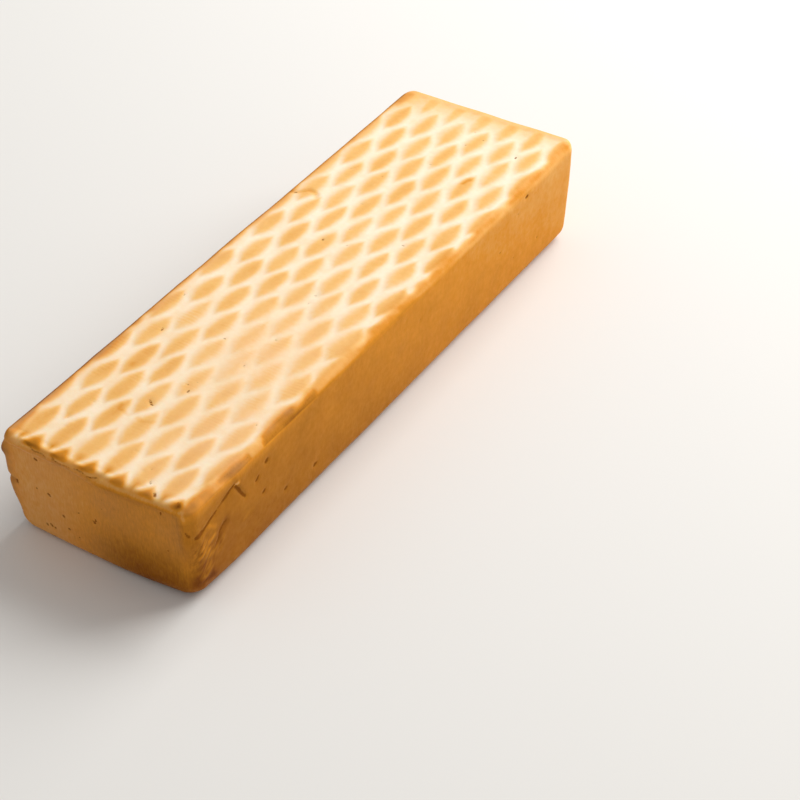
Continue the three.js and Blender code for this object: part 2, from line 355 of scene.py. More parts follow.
# %% Where the rack bore on the loaf
PRINT_LEFT, PRINT_LEFT_LIP, LEFT_RUN = -41.8, -38.5, (-138, -118)
PRINT_RIGHT, PRINT_RIGHT_LIP, RIGHT_RUN = 41.8, 40.0, (-135, -100)
PRINT_LIP, PRINT_FAR, PRINT_FADE, RIGHT_SOFTER = -142.2, 142.4, 1.4, 1.6
PRINT_LOWEST = (HEIGHT - 8, HEIGHT - 4)
RAGGED_BORDER = 0.7


def borne(ragged):
    """Where the rack bore on the loaf, 1 inside the flat of the top and 0 outside and on the walls;
    ragged pushes the border in and out."""
    to_right = (mix(PRINT_RIGHT, PRINT_RIGHT_LIP, 1 - ease(y, *RIGHT_RUN)) - x) / RIGHT_SOFTER
    to_left = x - mix(PRINT_LEFT, PRINT_LEFT_LIP, 1 - ease(y, *LEFT_RUN))
    inside = np.minimum.reduce([to_left, to_right, y - PRINT_LIP, PRINT_FAR - y])
    return ease(inside + ragged, -PRINT_FADE, PRINT_FADE) * ease(z, *PRINT_LOWEST)


pressing = borne(0)
bearing = borne(RAGGED_BORDER * lumps(body, 4, seed=12))
print("points under the rack:", int((bearing > 0.5).sum()))

# %% [markdown]
# ## Marks of handling
# Pits, nicks, cracks and creases make a food look real. They could be cut into a very fine mesh.
# Here each is stored as nearness to a short stroke, 1 on the stroke and falling evenly to 0 at its
# reach. Such a slope survives a coarse grid, and the material later cuts it at one level, so a
# small mark still gets a crisp edge. The strokes lie on one face each, in that face's own two
# directions; on the lip end the height is counted on round the rolled edge, up to the top.

# %% Strokes on the faces
ROLL_STARTS = (42, 45)
STROKE_WAVER = 0.5

end_wall = -HALF_LENGTH + LIP_BULGE * (np.square(x / HALF_WIDTH) - 0.5)
round_roll = z + np.maximum(y - end_wall, 0) * ease(z, *ROLL_STARTS)
faces = {
    "top": (normal[:, 2] > 0.3, np.column_stack([x, y])),
    "lip_end": (normal[:, 1] < -0.3, np.column_stack([x, round_roll])),
    "far_end": (normal[:, 1] > 0.6, np.column_stack([x, z])),
    "right": (normal[:, 0] > 0.5, np.column_stack([y, z])),
    "left": (normal[:, 0] < -0.6, np.column_stack([y, z])),
}
waver = STROKE_WAVER * np.column_stack([lumps(body, 3, seed=21), lumps(body, 3, seed=22)])


def stroke(face, start, end, reach, wander=1.0):
    """Nearness to a straight stroke on a face, 1 on it and 0 from its reach on; the stroke
    wanders a little to each side."""
    on_face, at = faces[face]
    run = np.subtract(end, start)
    away = at + wander * waver - start
    share = np.clip(away @ run / max(run @ run, 1e-9), 0, 1)
    away = np.linalg.norm(away - share[:, None] * run, axis=1)
    return np.clip(1 - away / reach, 0, 1) * on_face


def path(face, points, reach, wander=1.0):
    """Nearness to a bent stroke: the largest of its straight runs'."""
    return np.maximum.reduce([stroke(face, a, b, reach, wander) for a, b in zip(points, points[1:])])


stain_and_shade = np.zeros(len(body))
sunk = np.zeros(len(body))


def mark(near, depth, darkness):
    """Adds a stroke's groove and its darkening to the loaf's: a stain, and along the crease also
    painted shade.
    """
    np.maximum(sunk, near * depth, out=sunk)
    np.maximum(stain_and_shade, near * darkness, out=stain_and_shade)


print("points on each face:", {face: int(on_face.sum()) for face, (on_face, at) in faces.items()})

# %% Cracks in the lip
LIP_CRACKS = (
    ((-31.1, 48.4), (-28.4, 47.5), (-25.5, 47.2), (-22.8, 46.7)),
    ((-18.6, 48.4), (-17.3, 46.7), (-15.6, 46.1), (-11.7, 46.8), (-10.2, 46.7)),
    ((-7.0, 47.0), (-4.0, 47.5), (-1.7, 46.6), (2.5, 47.2)),
)
CRACK_REACH, CRACK_BROWNED, CRACK_WANDER = 2.8, 2.6, 1.2

cracked = np.zeros(len(body))
for crack in LIP_CRACKS:
    mark(path("lip_end", crack, CRACK_REACH, CRACK_WANDER), depth=0.55, darkness=0.63)
    np.maximum(cracked, path("lip_end", crack, CRACK_BROWNED, CRACK_WANDER), out=cracked)
print("cracked points:", int((cracked > 0.5).sum()))

# %% Pits, nicks and specks
# Pits of the lip end: across, up, reach
END_PITS = (
    (-27.7, 41.9, 1.5), (-24.0, 26.1, 1.4), (-17.8, 17.5, 1.6), (-2.1, 22.8, 1.4), (-27.7, 8.3, 1.3),
    (-25.4, 8.9, 1.4), (-23.7, 8.4, 1.1), (-15.8, 11.4, 1.5), (-30.3, 26.6, 1.0), (31.2, 42.4, 1.1),
    (-40.2, 25.0, 1.5), (-11.8, 9.6, 1.0), (-0.9, 24.0, 1.0),
)
SIDE_NICKS = ((-95.8, 38.0), (-101.9, 34), (-98.7, 25), (-84, 15), (-64, 12.1), (100.8, 44.1))
BROWN_SPECKS = ((28.6, 119.7), (-9.4, 23.7), (2.8, -87.2), (22.2, -136.1), (-29.9, -61.3))
FAINT_SPECKS = (
    (10, -16.2), (10, -10.5), (18.8, -0.2), (12.8, -43.4), (-36.3, -37.5), (11.8, -63.8),
    (0.2, -84), (-27.5, -123), (8, 36), (7, 97.5),
)
PIT_SLANT, NICK_SLANT, SPECK_SLANT = (0.3, -0.5), (0.9, 0.3), (-0.3, 0.9)

for *pit, reach in END_PITS:
    mark(stroke("lip_end", pit, np.add(pit, PIT_SLANT), reach), depth=0.4, darkness=0.95)
for nick in SIDE_NICKS:
    mark(stroke("right", nick, np.add(nick, NICK_SLANT), reach=1.8), depth=0.4, darkness=1.0)
for specks, darkness in ((BROWN_SPECKS, 0.88), (FAINT_SPECKS, 0.68)):
    for speck in specks:
        mark(stroke("top", speck, np.add(speck, SPECK_SLANT), reach=1.5), 0.25, darkness)
print("points in a pit, nick or speck:", int((stain_and_shade > 0.3).sum()))

# %% Single cuts and lines
# Face, start, end, reach, wander, depth, darkness
CUTS = (
    ("top", (-4.6, -100.8), (-7.0, -98.8), 1.35, 0.3, 0.35, 0.92),
    ("top", (27.8, -141.4), (27.1, -140.0), 1.35, 0.6, 0.4, 0.95),
    ("top", (39.0, -141.4), (37.8, -139.6), 2.0, 0.8, 0.3, 0.7),
    ("top", (-41.2, 47.4), (-40.2, 48.2), 1.6, 1.0, 0.3, 0.72),
    ("right", (-139.4, 33.2), (-136.6, 33.6), 2.4, 0.8, 0.3, 1.0),
    ("right", (-141.6, 34.6), (-144.2, 39.0), 1.2, 0.6, 0.2, 0.72),
    ("right", (-114.5, 39.8), (-112.6, 35.5), 1.9, 0.6, 0.4, 0.95),
    ("right", (-112.6, 35.5), (-109.6, 31.3), 1.5, 0.6, 0.4, 0.95),
)
SHOULDER_LINES = (
    ((42.7, -93.5), (42.2, -84.0), (42.6, -75.0)),
    ((44.5, -95.0), (44.3, -84.0), (44.6, -72.0), (43.4, -61.0)),
    ((43.2, -122.0), (43.6, -113.0), (43.9, -105.0)),
)
EDGE_CREASE = ((-41.5, 47.4), (-38.8, 49.0), (-36.4, 52.4), (-33.0, 51.8), (-30.5, 49.5))

for face, start, end, reach, wander, depth, darkness in CUTS:
    mark(stroke(face, start, end, reach, wander), depth, darkness)
for line in SHOULDER_LINES:
    mark(path("top", line, reach=1.6, wander=0.5), depth=0.3, darkness=0.5)
mark(path("top", EDGE_CREASE, reach=1.5), depth=0.35, darkness=0.5)
print("points in a mark so far:", int((stain_and_shade > 0.3).sum()))

# %% Stray pits
# Small pits at random places: how many on each face, and the corners that they stay between
STRAY_PITS = {
    "top": (40, (-41, -136), (41, 138)),
    "right": (14, (-108, 6), (138, 42)),
    "lip_end": (12, (-40, 5), (37, 41)),
    "left": (22, (-138, 6), (138, 42)),
    "far_end": (10, (-40, 6), (40, 42)),
}
draw = np.random.default_rng(71)
for face, (count, lowest, highest) in STRAY_PITS.items():
    for pit in draw.uniform(lowest, highest, (count, 2)):
        slant = draw.uniform(-0.6, 0.6, 2)
        reach = draw.uniform(0.8, 1.3)
        darkness = draw.uniform(0.55, 0.9)
        mark(stroke(face, pit, pit + slant, reach), 0.2, darkness)
print("points in a mark:", int((stain_and_shade > 0.3).sum()))

# %% [markdown]
# ## The lip, the crease and the torn corner
# At one end the printed skin hangs over the end wall as a thin lip, and so does the right side's
# skin round the upright corner. On the right side near that end, the skin was pulled: a straight
# crease where the upper skin stands over the lower, a nick at its upper end, and below it a torn,
# wrinkled patch. They could be sculpted, but heights as functions of the place on the wall can be
# read and changed.

# %% Lip over the end wall
LIP_REACH, LIP_REACH_RIGHT = 1.0, 0.6
LIP_STEP, LIP_STEP_RIGHT = 2.3, 3.0
LIP_THIN, LIP_THICK, LIP_SLOPE, LIP_WAVE = 2.5, 3.9, 0.05, 0.3
RIM_EDGE, RIM_FOOT = (38.4, 42.4), (22, 32)

right_part = ease(x, *LIP_CHANGE)
only_across = np.column_stack([x, 0 * x, 0 * x])
lip_thick = mix(LIP_THIN, LIP_THICK - LIP_SLOPE * x, right_part)
lip_edge = HEIGHT - lip_thick + LIP_WAVE * lumps(only_across, 5, seed=31)
lip_step = mix(LIP_STEP, LIP_STEP_RIGHT, right_part)
lip_reach = mix(LIP_REACH, LIP_REACH_RIGHT, right_part)
rim = ease(x, *RIM_EDGE) * ease(z, *RIM_FOOT)
under_lip = faces_lip_end * (1 - ease(z, lip_edge - lip_step, lip_edge)) * (1 - rim)
print("lip stands out", LIP_REACH, "mm over", int((under_lip > 0.5).sum()), "points")

# %% Crumpled roll of the lip
# The rolled edge is crumpled on the left, in folds twice as long as they are wide, and smoother
# on the right.
ROLL_DROP, CRUMPLE_HIGH, CRUMPLE_WIDE = 1.2, 0.3, 2.0

roll = hump(drop, ROLL_DROP, ROLL_DROP) * faces_lip_end
folds = lumps(np.column_stack([x / 2, y, z]), CRUMPLE_WIDE, seed=32)
crumple = CRUMPLE_HIGH * folds * roll * (1 - 0.6 * ease(x, 2, 12))
print("crumples stand up to", np.abs(crumple).max().round(2), "mm")

# %% Crease and scar on the right wall
CREASE_LOW, CREASE_HIGH, CREASE_BOW = np.array([-137.9, 32.2]), np.array([-113.8, 41.2]), 0.5
CREASE_DEPTH, CREASE_REACH, CREASE_WAVER = 0.75, 2.2, 0.3
FLAP_FADE, FLANK_FADE = 4.2, 5.0
SCAR = ((-121.2, 28.6), (-123.6, 27.6), (-126.2, 25.6), (-128.0, 22.0))
SCAR_REACH, SCAR_BROWNED, SCAR_WANDER = 2.2, 4.0, 1.2

on_right, wall = faces["right"]
run = CREASE_HIGH - CREASE_LOW
crease_length = np.linalg.norm(run)
way = run / crease_length
along = (wall - CREASE_LOW) @ way / crease_length
bowed = CREASE_BOW * 4 * along * (1 - along)
above = (wall - CREASE_LOW) @ np.array([-way[1], way[0]]) - bowed - CREASE_WAVER * waver[:, 0]
on_crease = ease(along, -0.05, 0.12) * (1 - ease(along, 0.92, 1.03)) * on_right
fold = on_crease * np.exp(-np.abs(above) / np.where(above > 0, FLAP_FADE, FLANK_FADE))
uneven = np.clip(0.88 + 0.15 * lumps(body, 3, seed=45), 0, 1)
# The crease's dark line is partly a stain and partly painted shade under the standing skin
mark(np.clip(1 - np.abs(above) / CREASE_REACH, 0, 1) * on_crease, 0.2, 0.95 * uneven)
mark(path("right", SCAR, SCAR_REACH, SCAR_WANDER), depth=0.5, darkness=0.76)
scarred = ease(path("right", SCAR, SCAR_BROWNED, SCAR_WANDER), 0, 1)
print("crease is", round(float(crease_length), 1), "mm long")
print("scar covers", int((scarred > 0.3).sum()), "points")

# %% Torn patch below the crease
TORN_AT, TORN_HALF, TORN_DEPTH = (-135.5, 22.0), (8.5, 11.0), 0.2
WRINKLE_WAY = math.radians(40)
WRINKLE_WIDE, WRINKLE_LONG, WRINKLE_HIGH = 2.1, 5.0, 0.34

pull = np.array([math.cos(WRINKLE_WAY), math.sin(WRINKLE_WAY)])
along_pull = wall @ pull
across_pull = wall @ np.array([pull[1], -pull[0]])
ridge_place = np.column_stack([across_pull, along_pull * WRINKLE_WIDE / WRINKLE_LONG, 0 * z])
wrinkle = np.abs(lumps(ridge_place, WRINKLE_WIDE, seed=42)) * (0.7 + 0.5 * lumps(body, 6, seed=43))
away = np.linalg.norm((wall - TORN_AT) / TORN_HALF, axis=1)
off_corner = ease(normal[:, 0], 0.35, 0.85)
torn = (1 - ease(away + 0.3 * lumps(body, 4, seed=41), 0.55, 1.3)) * off_corner
drawn_skin = (1 - ease(away, 1.0, 2.6)) * off_corner
print("torn patch covers", int((torn > 0.5).sum()), "points")

# %% Tab, notch and crater on the left upright edge of the lip end
UPRIGHT_AT, UPRIGHT_REACH = (-43.6, -142.6), 3.4

upright = np.exp(-np.square((body[:, :2] - UPRIGHT_AT) / UPRIGHT_REACH).sum(1))
upright *= ease(z, 6, 24) * (1 - 0.95 * ease(z, 41, 46.5))
tab = knob((-43.8, -142.3, 39.8), (3, 2.5, 2.2))
notch = knob((-42.6, -141.9, 26.3), (2.5, 2.5, 1.3))
crater = knob((-40.4, -143.2, 25.0), (1.5, 3, 1.5))
print("tab, notch, crater:", [int((v > 0.5).sum()) for v in (tab, notch, crater)])

# %% [markdown]
# ## Raise and sink the skin
# Pressed cheese is never quite even. Each form could be a modifier of its own, but heights along
# the outward direction simply add up: long swells first, then the print and the handling marks.
# Near the base the heights fade out, which keeps the underside flat where the loaf rests.

# %% Displace the skin
LONG_SWELL, SHORT_SWELL, WALL_GRAIN = 0.20, 0.10, 0.05
STRAND_DEPTH = 0.25
DRAWN_HIGH, DRAWN_MIDDLE = 0.15, 0.4
UPRIGHT_SWELL, TAB_HIGH, NOTCH_DEEP, CRATER_DEEP = 2.0, 0.9, 0.9, 0.7
SETTLED = (0, 5)

height = (
    LONG_SWELL * lumps(body, 48, seed=51)
    + SHORT_SWELL * lumps(body, 13, seed=52)
    + WALL_GRAIN * lumps(body, 4.5, seed=53) * on_wall
    - STRAND_DEPTH * (1 - almond) * pressing
    - lip_reach * under_lip
    - CREASE_DEPTH * fold
    - torn * (TORN_DEPTH - WRINKLE_HIGH * wrinkle)
    + DRAWN_HIGH * drawn_skin * (wrinkle - DRAWN_MIDDLE)
    + UPRIGHT_SWELL * upright + TAB_HIGH * tab - NOTCH_DEEP * notch - CRATER_DEEP * crater
    + crumple
    - sunk
)
skin = body + normal * (height * ease(z, *SETTLED))[:, None]
skin[:, 2] = np.maximum(skin[:, 2], 0)
print("heights from", height.min().round(2), "to", height.max().round(2), "mm")

# %% [markdown]
# ## Smoke on the skin
# How brown the smoke made each spot could be painted by hand. Here it follows from the form: walls
# and edges that met the smoke freely are amber, almonds that faced the rack's openings are honey,
# and the skin under the strands stayed cream. Each point gets one smoke value for the material,
# from 0 for cream to 1 for dark brown, and the amounts below are shares of that. Some of them paint
# light and shade into that value: painted shade on the sides, the left edge and the end wall, and
# painted light and highlights on the end wall, an upright edge and the torn patch. Those are named so.

# %% Smoke of the print
ALMOND_SMOKE, STRAND_SMOKE = 0.30, 0.07
RUBBED_PALER, RUBBED_STRANDS = 0.26, 0.07
ALMOND_CLOUDS, ALMOND_SPREAD, STRAND_CLOUDS = 0.12, 0.02, 0.05
CORE_DARKER, BORDER_PALER = 0.07, 0.02
LIP_HALF_DARKER, NEAR_LEFT_DARKER, RIGHT_ROW_DARKER = 0.04, 0.04, 0.12
FAR_FADE, FAR_FADE_SLANT, FAR_FADE_RUN = 0.85, 0.12, (122, 146)

toward_lip = 0.5 - 0.5 * y / HALF_LENGTH
near_left = (1 - ease(x, -25, 0)) * (1 - ease(y, -100, -50))
almond_smoke = ALMOND_SMOKE * (1 - RUBBED_PALER * rubbed)
almond_smoke *= 1 + ALMOND_CLOUDS * lumps(body, 15, seed=62)
almond_smoke += ALMOND_SPREAD * almond_tone + CORE_DARKER * almond_core - BORDER_PALER
almond_smoke += LIP_HALF_DARKER * (toward_lip - 0.5) + NEAR_LEFT_DARKER * near_left
almond_smoke += RIGHT_ROW_DARKER * ease(x, 36.5, 41.5)
strand_smoke = STRAND_SMOKE * toward_lip + RUBBED_STRANDS * rubbed
strand_smoke += STRAND_CLOUDS * ease(lumps(body, 5, seed=63), 0, 1.2)
faded = FAR_FADE * ease(y - FAR_FADE_SLANT * x, *FAR_FADE_RUN)
print_smoke = mix(strand_smoke, almond_smoke, np.maximum(almond, faded))
print("smoke of an almond, of a strand:", almond_smoke.mean().round(2), strand_smoke.mean().round(2))

# %% Smoke of the walls and shoulders, and painted shade on the sides
WALL_SMOKE, SHOULDER_SMOKE = 0.55, 0.42
FAR_EDGE_PALER, FAR_END_PALER = 0.20, 0.10
# The sides are painted darker toward the lip end, a painted shade, and darker toward the base, partly
# more smoke and partly painted shade and warm ground reflection; the top of the near sides is spared
# part of that shade
SIDE_SHADE_TO_LIP, SIDE_SMOKE_AND_SHADE_LOW, NEAR_SIDE_TOP_SHADE_LIFTED = 0.29, 0.12, 0.12
# Shares of the way to the lip, and down, at which a side wall has just the walls' smoke;
# past them it is painted darker, short of them lighter
EVEN_ALONG, EVEN_DOWN = 0.22, 0.4

on_side = np.square(facing[:, 0]) * on_wall
low_down = 1 - z / HEIGHT
far_edge = ease(y - HALF_LENGTH, -4.5, -2.0)
near_side_top = ease(z, 40.5, 45.5) * on_side * (1 - ease(y, -100, -60))
rest_smoke = mix(WALL_SMOKE, SHOULDER_SMOKE - FAR_EDGE_PALER * far_edge, upper)
# Painted shade on the side walls, toward the lip end and toward the base, lifted along the near sides'
# top
rest_smoke += on_side * SIDE_SHADE_TO_LIP * (toward_lip - EVEN_ALONG)
rest_smoke += on_side * SIDE_SMOKE_AND_SHADE_LOW * (low_down - EVEN_DOWN)
rest_smoke -= NEAR_SIDE_TOP_SHADE_LIFTED * near_side_top
rest_smoke -= FAR_END_PALER * np.maximum(facing[:, 1], 0) * on_wall
smoke = mix(rest_smoke, print_smoke, bearing)
print("smoke of the side walls:", rest_smoke[on_side > 0.9].mean().round(2))

# %% Browner edges round the top, and painted shade along the left edge
LEFT_EDGE_SHADE, LEFT_ROLL_SHADE, NEAR_LEFT_LINE_SHADE = 0.20, 0.17, 0.12
RIGHT_LINE_AT, RIGHT_LINE_WIDE, RIGHT_LINE_DARKER = 43.3, 1.2, 0.12
FAR_BAND_DARKER, FAR_LINE_DARKER, FAR_CORNER_DARKER = 0.05, 0.10, 0.08

from_left = x + HALF_WIDTH
left_edge_shade = (1 - ease(from_left, 1.0, 9.0)) * mix(1.0, 0.7, ease(y, 0, 90))
left_roll_shade = ease(-normal[:, 0], 0.3, 0.65) * ease(normal[:, 2], 0.15, 0.4)
near_left_shade_line = (1 - ease(from_left, 2.5, 6.0)) * (1 - ease(y, -80, -40)) * upper
past_corner = ease(y, -141, -130)
broken = ease(lumps(body, 9, seed=65), -0.7, 0.5)
right_line = broken * hump(x, RIGHT_LINE_AT, RIGHT_LINE_WIDE) * ease(y, -40, 40)
# Painted shade: the left edge faces away from the light, so its band, its roll and a line near the lip
# end are painted darker
smoke += LEFT_EDGE_SHADE * left_edge_shade * upper
smoke += past_corner * (LEFT_ROLL_SHADE * left_roll_shade + NEAR_LEFT_LINE_SHADE * near_left_shade_line)
smoke += RIGHT_LINE_DARKER * right_line * upper
smoke += FAR_BAND_DARKER * ease(y, 132, 144) * upper
smoke += FAR_LINE_DARKER * ease(y - HALF_LENGTH, -0.4, 0.8) * upper
smoke += FAR_CORNER_DARKER * knob((-40, 137, HEIGHT), (5, 9, 6))
print("points in the left edge's brown band:", int((left_edge_shade * upper > 0.5).sum()))

# %% Smears along the right shoulder
SMEAR_DARKER, BLOTCH_DARKER, FEWER_SMEARS_FAR = 0.14, 0.12, 0.6
SHOULDER_END_DARKER = 0.07
# Places along the shoulder, their reach, and how much browner or paler they are
SHOULDER_PLACES = ((-88, 12, 0.06), (-124.5, 5, -0.14), (-103, 8, -0.02))

on_shoulder = ease(x, 40, 42) * upper
smoke += SHOULDER_END_DARKER * on_shoulder * ease(-y, 134, 140)
for middle, reach, amount in SHOULDER_PLACES:
    smoke += amount * on_shoulder * hump(y, middle, reach)
drawn_out = np.column_stack([x, y / 3, z])
smear = ease(lumps(drawn_out, 4, seed=61), 0, 1) * ease(x, 40.0, 42.5)
blotch = ease(lumps(drawn_out, 7, seed=64), -0.3, 1) * ease(x, 40.0, 43.0)
smeared = (SMEAR_DARKER * smear + BLOTCH_DARKER * blotch) * ease(normal[:, 2], 0.15, 0.4)
smoke += smeared * (1 - FEWER_SMEARS_FAR * ease(y, 40, 80))
print("smears add up to", smeared.max().round(2))

# %% Smoke of the lip and the end wall, and painted light and shade on the end wall
LIP_STRANDS_DARKER, LIP_ALMONDS_DARKER = 0.05, 0.31
PANEL_LEFT, PANEL_LEFT_LOW_LIGHT = -0.02, -0.03
PANEL_RIGHT, PANEL_RIGHT_LOW_SHADE = 0.08, 0.22
LIP_AND_RIM_SHADE, RIM_SHADE_AT, RIM_SHADE_FOOT = 0.11, 41.0, (14, 32)

round_part = ease(x, 2, 10)
over_roll = 1 - ease(drop, 0.2 * round_part, 1.2 + 0.8 * round_part)
by_lip = ease(-y, 135.5, 142.0) * upper * over_roll * ease(x, -41, -36)
smoke += by_lip * mix(LIP_STRANDS_DARKER, LIP_ALMONDS_DARKER, almond)

on_lip_end = faces_lip_end * on_wall
panel = on_lip_end * under_lip
rightward = ease(x, -25, 20)
shade_top = mix(30, 20, ease(x, 32, 43))
# The panel is painted lighter low on the left, a painted bounce of light from below, and darker low on
# the right up to shade_top, a painted shade
panel_left_tone_and_light = PANEL_LEFT + PANEL_LEFT_LOW_LIGHT * low_down
panel_right_tone_and_shade = PANEL_RIGHT + PANEL_RIGHT_LOW_SHADE * (1 - ease(z, 6, shade_top))
smoke += panel * mix(panel_left_tone_and_light, panel_right_tone_and_shade, rightward)
# Painted shade: a soft dark band under the lip's edge and beside the rim of the right upright corner
under_lip_shade = hump(z, lip_edge - 0.8, 2.0) * mix(0.45 * ease(x, -30, -20), 1.0, ease(x, -2, 10))
rim_shade = hump(x, RIM_SHADE_AT, 3.0) * ease(z, *RIM_SHADE_FOOT) * (1 - ease(z, lip_edge - 3, lip_edge))
smoke += LIP_AND_RIM_SHADE * np.maximum(under_lip_shade, rim_shade) * on_lip_end
print("end wall's panel covers", int((panel > 0.5).sum()), "points")

# %% Smoke of the corners, and a painted highlight on the right upright edge
LEFT_UPRIGHT_DARKER, RIGHT_UPRIGHT_HIGHLIGHT = 0.08, 0.03
TAB_DARKER, CRATER_DARKER = 0.22, 0.12
CORNER_SPOT_DARKER, LEFT_CORNER_DARKER = 0.18, 0.05

# Between a side and the lip end, 1 on the left upright edge and -1 on the right one
upright_edge = 2 * facing[:, 0] * facing[:, 1] * on_wall * (y < 0)
corner_spot = knob((38.4, -140.8, HEIGHT), (2.0, 3.0, 2.5))
left_corner = knob((-41.5, -138.0, HEIGHT), (2.5, 4.0, 4.0))
smoke += LEFT_UPRIGHT_DARKER * np.maximum(upright_edge, 0)
# Painted highlight: the rounded right upright edge is painted paler
smoke -= RIGHT_UPRIGHT_HIGHLIGHT * np.maximum(-upright_edge, 0) * ease(z, 8, 24)
smoke += TAB_DARKER * tab + CRATER_DARKER * crater
smoke += CORNER_SPOT_DARKER * corner_spot + LEFT_CORNER_DARKER * left_corner
print("points in the corner spots:", int((corner_spot + left_corner > 0.5).sum()))

# %% Browned and paled marks, and painted highlights
TOP_WRINKLES = (
    ((-15.5, -106.6), (-13.2, -109.2), (-9.0, -109.2)),
    ((-4.8, -109.6), (-2.0, -110.8), (1.8, -108.4)),
)
SHOULDER_WRINKLES = (
    ((42.0, -127.0), (43.2, -137.5)),
    ((43.6, -123.5), (44.3, -132.0)),
    ((41.2, -130.5), (41.8, -138.0)),
)
# Amount, face, points, reach, wander, and the nearness at which the amount is reached
TINTS_AND_HIGHLIGHTS = (
    *((0.16, "top", line, 2.0, 0.5, 1.0) for line in SHOULDER_LINES),
    *((0.08, "top", line, 1.6, 1.0, 1.0) for line in TOP_WRINKLES),
    *((0.09, "top", line, 2.6, 1.0, 1.2) for line in SHOULDER_WRINKLES),
    (0.15, "top", EDGE_CREASE, 2.4, 1.0, 1.0),
    (0.20, "top", ((18.7, 90.2), (19.8, 94.6)), 2.2, 1.0, 1.0),
    # Painted highlights: a glint at the crease's upper end and two pale streaks on the torn skin below
    # it; the last line is a pale scratch
    (-0.40, "right", ((-112.9, 41.3), (-114.2, 40.9)), 1.6, 1.0, 1.0),
    (-0.10, "right", ((-128.4, 30.4), (-131.2, 33.2)), 1.6, 1.0, 1.0),
    (-0.12, "right", ((-129.2, 27.8), (-132.8, 26.2)), 1.6, 1.0, 1.0),
    (-0.04, "right", ((-106.0, 22.2), (-111.5, 20.4)), 1.6, 1.0, 1.0),
)
for amount, face, points, reach, wander, full in TINTS_AND_HIGHLIGHTS:
    smoke += amount * ease(path(face, points, reach, wander), 0, full)
print("tinted", len(TINTS_AND_HIGHLIGHTS), "lines")

# %% Stains of the foot, the scar and the cracks, and painted light and shade on the torn wrinkles
FOOT_STAIN = ((-140.2, 10.8), (-136.5, 9.2), (-131.1, 8.5))
FOOT_DARKER, SCAR_DARKER, CRACK_DARKER, SMUDGE_DARKER = 0.11, 0.05, 0.06, 0.08
TORN_RIDGE_LIGHT, WRINKLE_LIT_FROM = 0.2, 0.22

foot_stained = ease(path("right", FOOT_STAIN, reach=4.0, wander=1.5), 0, 0.9) * off_corner
smoke += FOOT_DARKER * foot_stained
smoke += SCAR_DARKER * scarred + CRACK_DARKER * ease(cracked, 0, 1)
smoke += SMUDGE_DARKER * knob((-26.5, -84.5, HEIGHT), (1.5, 1.8, 3))
# Painted highlight and shade: the torn patch's wrinkle ridges are painted paler and the hollows between
# them darker
smoke -= TORN_RIDGE_LIGHT * torn * (wrinkle - WRINKLE_LIT_FROM)
print("smoke from", smoke.min().round(2), "to", smoke.max().round(2))

# %% Bloom, painted sheen and ripples
# Bloom is a thin pale film of fat where the skin was rubbed or handled. On the end wall's panel
# the same pale colour is partly bloom and partly painted sheen, and on the left edge it tints the
# painted shade. The ripples are fine wrinkles across the almonds near the lip end.
WORN_BLOOM, PANEL_BLOOM_AND_SHEEN, PANEL_BLOOM_AND_SHEEN_RIGHT = 0.5, 0.2, 0.1
LEFT_SHADE_TINT, SHOULDER_BLOOM, LIP_FOOT_BLOOM = 0.4, 0.15, 0.22

worn = np.maximum(rubbed, knob((30, -100, HEIGHT), (20, 36, 20)))
lip_foot = hump(z, lip_edge - 0.2, 1.3) * on_lip_end * (1 - ease(x, -4, 6))
bloom_and_sheen = WORN_BLOOM * worn * almond * bearing
# On the end wall's panel, higher up on its right half: partly bloom, partly painted sheen; then a pale
# tint on the left edge's painted shade
bloom_and_sheen += panel * mix(PANEL_BLOOM_AND_SHEEN, PANEL_BLOOM_AND_SHEEN_RIGHT * ease(z, 12, 36), rightward)
bloom_and_sheen += LEFT_SHADE_TINT * left_edge_shade * upper * (1 - ease(-normal[:, 0], 0.2, 0.5))
bloom_and_sheen += SHOULDER_BLOOM * on_shoulder * (1 - ease(y, -112, -100))
bloom_and_sheen += LIP_FOOT_BLOOM * lip_foot
bloom_and_sheen *= 1 - corner_spot
hatch = almond * bearing * ease(y, -125, -100) * (1 - ease(y, -50, -20))
print("points with bloom, with ripples:", int((bloom_and_sheen > 0.1).sum()), int((hatch > 0.5).sum()))

# %% [markdown]
# ## One closed mesh
# The real loaf is one solid of cheese, so the skin becomes one mesh that is closed below by a
# single flat face. The values worked out above go with it as attributes, one number a point, and
# the material reads them. A painted image would need an unwrapped map and would blur; attributes
# follow the points themselves.

# %% Make the mesh
rim_points = np.flatnonzero(box_points[:, 2] == 0)
clockwise = np.argsort(np.arctan2(body[rim_points, 0], body[rim_points, 1]))
base = rim_points[clockwise].tolist()

mesh = bpy.data.meshes.new("smoked_loaf")
mesh.from_pydata((skin * MM).tolist(), [], quads.tolist() + [base])
values_at_points = {
    "smoke": smoke, "stain_and_shade": stain_and_shade, "torn": torn, "hatch": hatch, "fibre": on_lip_end, "bloom_and_sheen": bloom_and_sheen,
}
for name, values in values_at_points.items():
    layer = mesh.attributes.new(name, "FLOAT", "POINT")
    layer.data.foreach_set("value", values.astype(np.float32))
smooth = np.arange(len(mesh.polygons)) < len(quads)
mesh.polygons.foreach_set("use_smooth", smooth)
loaf = bpy.data.objects.new("smoked_loaf", mesh)
bpy.context.collection.objects.link(loaf)
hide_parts("cheese_loaf")
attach(loaf, "root")
print("loaf:", len(mesh.vertices), "points,", 2 * len(quads) + len(base) - 2, "triangles")

# %% [markdown]
# ## Smoked rind
# The skin is fat and protein, pressed smooth and set firm by smoke: it lets light in a few
# millimetres and has a dull waxy shine. Smoke colours it from cream through honey and amber to
# brown. Each kind of place could have a colour of its own, but one smoke value per point and one
# colour ramp let neighbouring colours blend the way smoke does. Noise of several sizes then breaks
# the evenness.

